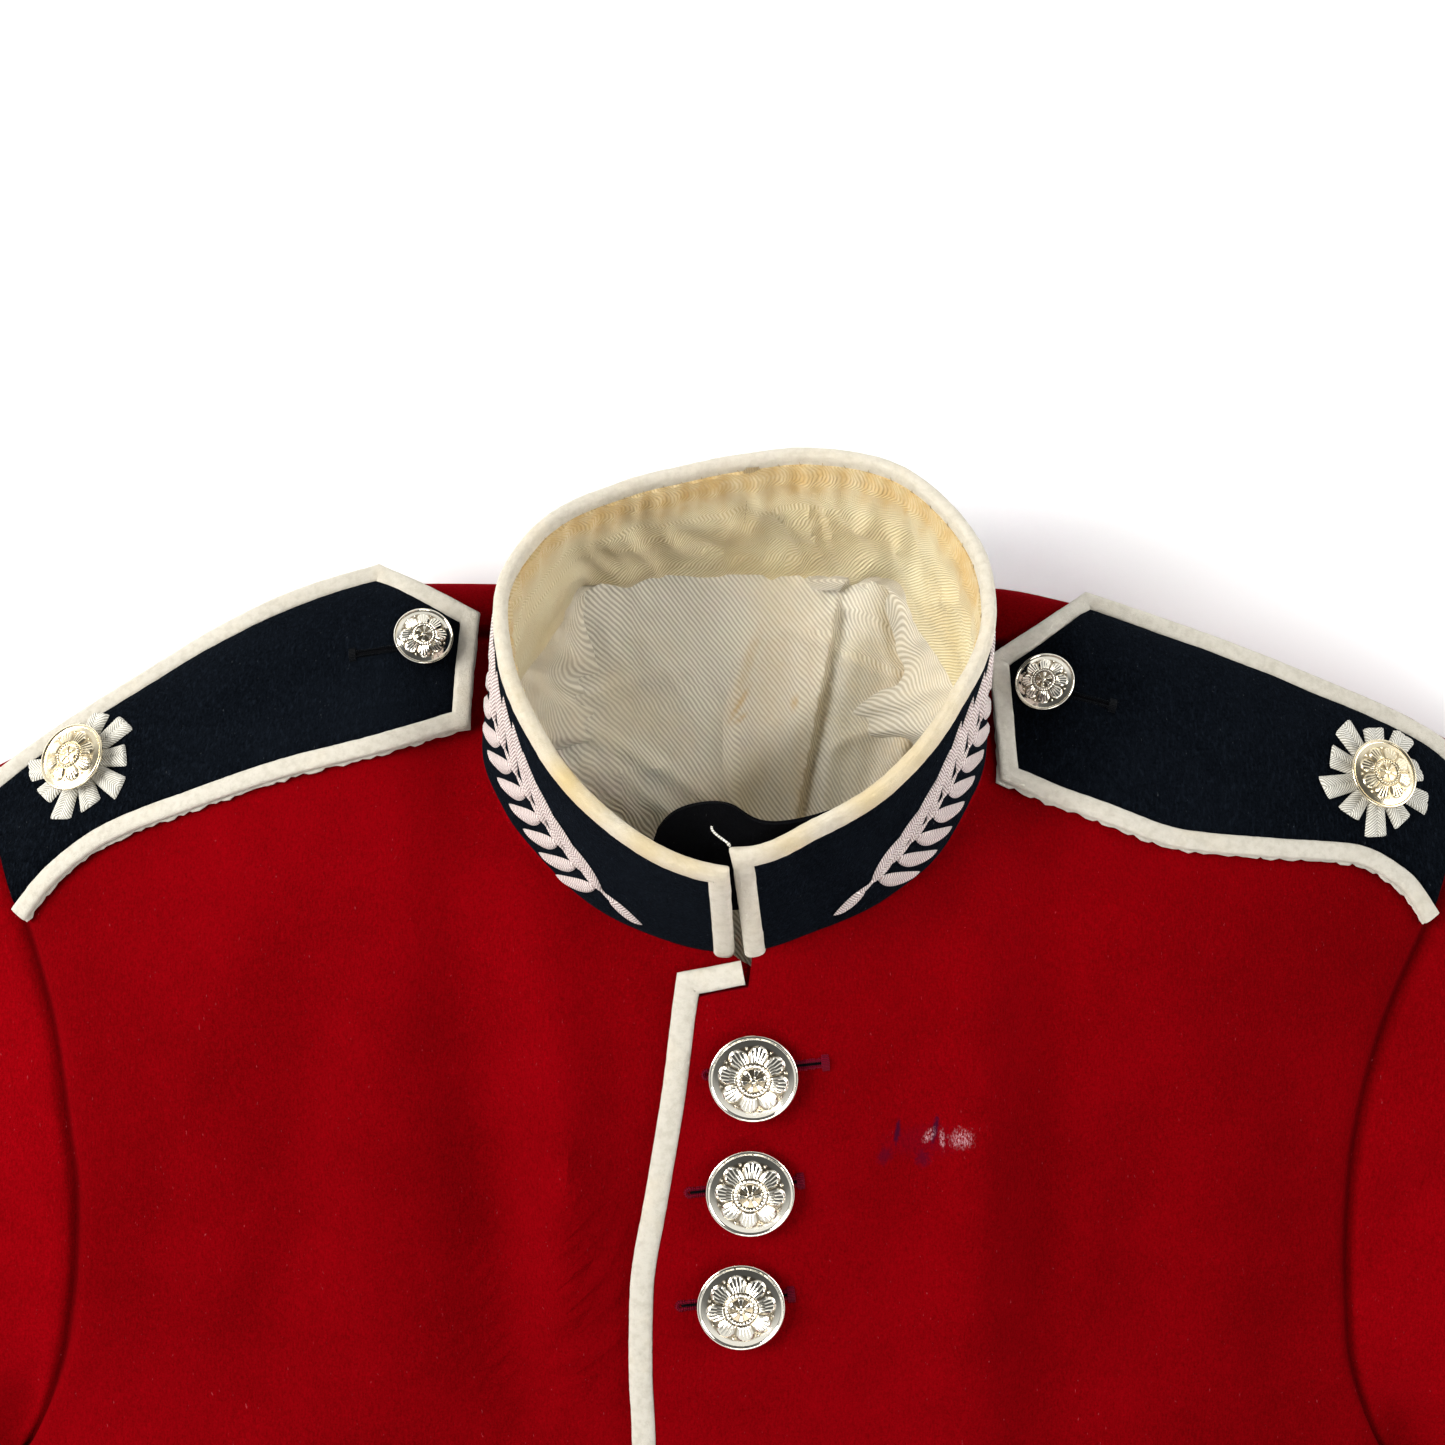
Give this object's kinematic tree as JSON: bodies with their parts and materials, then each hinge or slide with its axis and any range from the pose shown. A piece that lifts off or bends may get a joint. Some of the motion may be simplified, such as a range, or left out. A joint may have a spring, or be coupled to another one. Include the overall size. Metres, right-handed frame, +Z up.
{
  "type": "foot guards tunic",
  "caption": "Scarlet full-dress tunic laid flat on its back, with a standing navy collar, white edging, shoulder straps and domed metal buttons.",
  "frame": {"origin": "on the table, under the middle of the tunic's outline", "axes": "+X towards the wearer's left, +Y from the hem to the collar, +Z up from the table"},
  "size_m": [0.805, 0.7722, 0.1104],
  "materials": {
    "scarlet": "brushed scarlet wool melton, matte with a short nap",
    "navy": "dark navy wool melton, matte",
    "white_felt": "thick off-white felt edging",
    "white_thread": "satin-stitched white embroidery",
    "lining": "cream twill with a soft sheen",
    "black_felt": "black felt",
    "button_metal": "polished pale gold anodised metal"
  },
  "bodies": {
    "root": {"front_left": "scarlet", "front_right": "scarlet", "back_left": "scarlet", "back_right": "scarlet", "skirt_front_left": "scarlet", "skirt_front_right": "scarlet", "skirt_back_left": "scarlet", "skirt_back_right": "scarlet", "sleeve_upper_left": "scarlet", "sleeve_upper_right": "scarlet", "sleeve_under_left": "scarlet", "sleeve_under_right": "scarlet", "collar": "navy", "cuff_left": "navy", "cuff_right": "navy", "strap_left": "navy", "strap_right": "navy", "collar_edging": "white_felt", "front_edging": "white_felt", "strap_edging_left": "white_felt", "strap_edging_right": "white_felt", "cuff_edging_left": "white_felt", "cuff_edging_right": "white_felt", "collar_spray_left": "white_thread", "collar_spray_right": "white_thread", "strap_star_left": "white_thread", "strap_star_right": "white_thread", "collar_lining": "lining", "lining_back": "lining", "collar_tongue": "black_felt", "front_button_1": "button_metal", "front_button_2": "button_metal", "front_button_3": "button_metal", "front_button_4": "button_metal", "front_button_5": "button_metal", "front_button_6": "button_metal", "front_button_7": "button_metal", "front_button_8": "button_metal", "front_button_9": "button_metal", "strap_button_left": "button_metal", "strap_button_right": "button_metal", "star_button_left": "button_metal", "star_button_right": "button_metal"}
  },
  "joints": []
}
